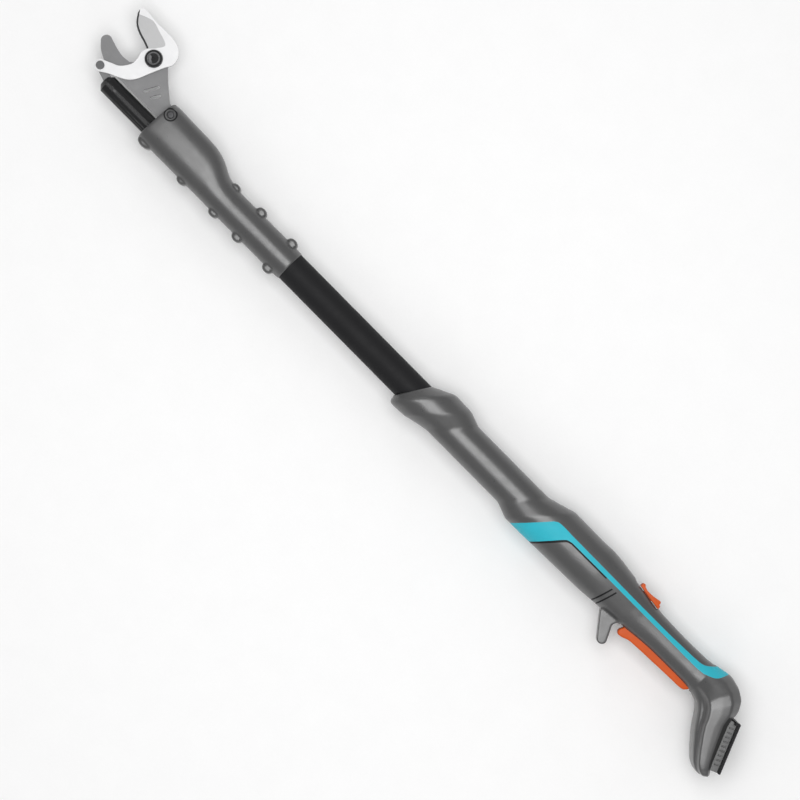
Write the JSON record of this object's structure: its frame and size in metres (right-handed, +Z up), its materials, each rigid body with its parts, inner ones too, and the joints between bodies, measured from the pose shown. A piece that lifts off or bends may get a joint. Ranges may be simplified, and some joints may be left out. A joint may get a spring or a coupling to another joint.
{
  "type": "pole pruner",
  "caption": "Telescoping battery pole pruner: motor-driven bypass blade on a hooked plate, black pole, moulded handle with trigger, lock slider and battery dock.",
  "frame": {"origin": "the middle of the tool's length and depth, on the surface that the tool lies on", "axes": "+X along the pole towards the cutting head, +Y towards the trigger side, +Z up, out of the side that shows the inlay's left half"},
  "size_m": [1.0974, 0.1661, 0.076],
  "materials": {
    "housing_grey": "fine-textured moulded plastic, dark grey",
    "inlay_turquoise": "smooth satin plastic",
    "control_orange": "satin moulded plastic",
    "lever_black": "satin moulded plastic",
    "screw_steel": "black zinc",
    "pole_black": "black powder coat on aluminium",
    "bush_plastic": "natural acetal",
    "plate_steel": "matt phosphated steel",
    "blade_steel": "polished, ground bevel",
    "bolt_steel": "dark nickel",
    "rod_black": "black coated",
    "nut_brass": "turned",
    "spindle_steel": "turned",
    "motor_metal": "plated can",
    "dock_black": "fine-textured moulded plastic",
    "lead_rubber": "matt",
    "board_green": "solder mask"
  },
  "bodies": {
    "handle": {"handle_shell_left": "housing_grey", "handle_shell_right": "housing_grey", "inlay_left": "inlay_turquoise", "inlay_right": "inlay_turquoise", "handle_screws": "screw_steel", "battery_dock": "dock_black", "battery_contacts": "nut_brass", "trigger_pin": "bolt_steel", "trigger_spring": "spindle_steel", "trigger_switch": "dock_black", "control_board": "board_green", "lock_spring": "spindle_steel", "clamp_shoe": "bush_plastic", "front_guide_bush": "bush_plastic", "middle_guide_bush": "bush_plastic", "coiled_lead": "lead_rubber"},
    "pole_head": {"telescoping_pole": "pole_black", "pole_stop_ring": "bush_plastic", "head_shell_left": "housing_grey", "head_shell_right": "housing_grey", "head_screws": "screw_steel", "plate_screws": "screw_steel", "motor": "motor_metal", "gearbox": "motor_metal", "thrust_bearing": "spindle_steel", "rod_guide_bush": "bush_plastic", "hook_plate": "plate_steel", "pivot_bolt": "bolt_steel", "pivot_nut": "bolt_steel", "pivot_washer": "bolt_steel"},
    "blade": {"cutting_blade": "blade_steel", "blade_arm_pin": "bolt_steel"},
    "link": {"drive_link": "plate_steel"},
    "push_rod": {"push_rod": "rod_black", "push_rod_pin": "bolt_steel", "spindle_nut": "nut_brass"},
    "spindle": {"drive_spindle": "spindle_steel"},
    "trigger": {"trigger": "control_orange"},
    "lock_slider": {"lock_slider": "control_orange"},
    "clamp_lever": {"clamp_lever": "lever_black"}
  },
  "joints": [
    {"name": "telescope_slide", "type": "slide", "parent": "handle", "child": "pole_head", "axis": [1, 0, 0], "range_m": [0, 0.17], "deforming": ["coiled_lead"]},
    {"name": "blade_pivot", "type": "hinge", "parent": "pole_head", "child": "blade", "pos_m": [0.4895, -0.0503, 0.038], "axis": [0, 0, 1], "range_deg": [0, 56]},
    {"name": "rod_slide", "type": "slide", "parent": "pole_head", "child": "push_rod", "axis": [1, 0, 0], "range_m": [-0.059, 0]},
    {"name": "link_pivot", "type": "hinge", "parent": "blade", "child": "link", "pos_m": [0.5277, -0.0015, 0.038], "axis": [0, 0, 1], "range_deg": [-31, 0]},
    {"name": "spindle_spin", "type": "hinge", "parent": "pole_head", "child": "spindle", "pos_m": [0.365, 0.0077, 0.038], "axis": [1, 0, 0], "range_deg": [0, 1800]},
    {"name": "trigger_pivot", "type": "hinge", "parent": "handle", "child": "trigger", "pos_m": [-0.451, 0.015, 0.038], "axis": [0, 0, -1], "range_deg": [0, 5], "stiffness_Nm_per_rad": 6, "springref_deg": -2.86, "deforming": ["trigger_spring"]},
    {"name": "lock_slide", "type": "slide", "parent": "handle", "child": "lock_slider", "axis": [1, 0, 0], "range_m": [0, 0.006], "stiffness_N_per_m": 400, "springref_m": -0.002, "deforming": ["lock_spring"]},
    {"name": "clamp_lever_pivot", "type": "hinge", "parent": "handle", "child": "clamp_lever", "pos_m": [-0.029, 0.006, 0.004], "axis": [0, 0, 1], "range_deg": [0, 75]}
  ],
  "couplings": [
    {"joint": "rod_slide", "follows": "blade_pivot", "m_per_rad": -0.0595},
    {"joint": "link_pivot", "follows": "blade_pivot", "ratio": -0.55},
    {"joint": "spindle_spin", "follows": "blade_pivot", "ratio": 31.154}
  ]
}
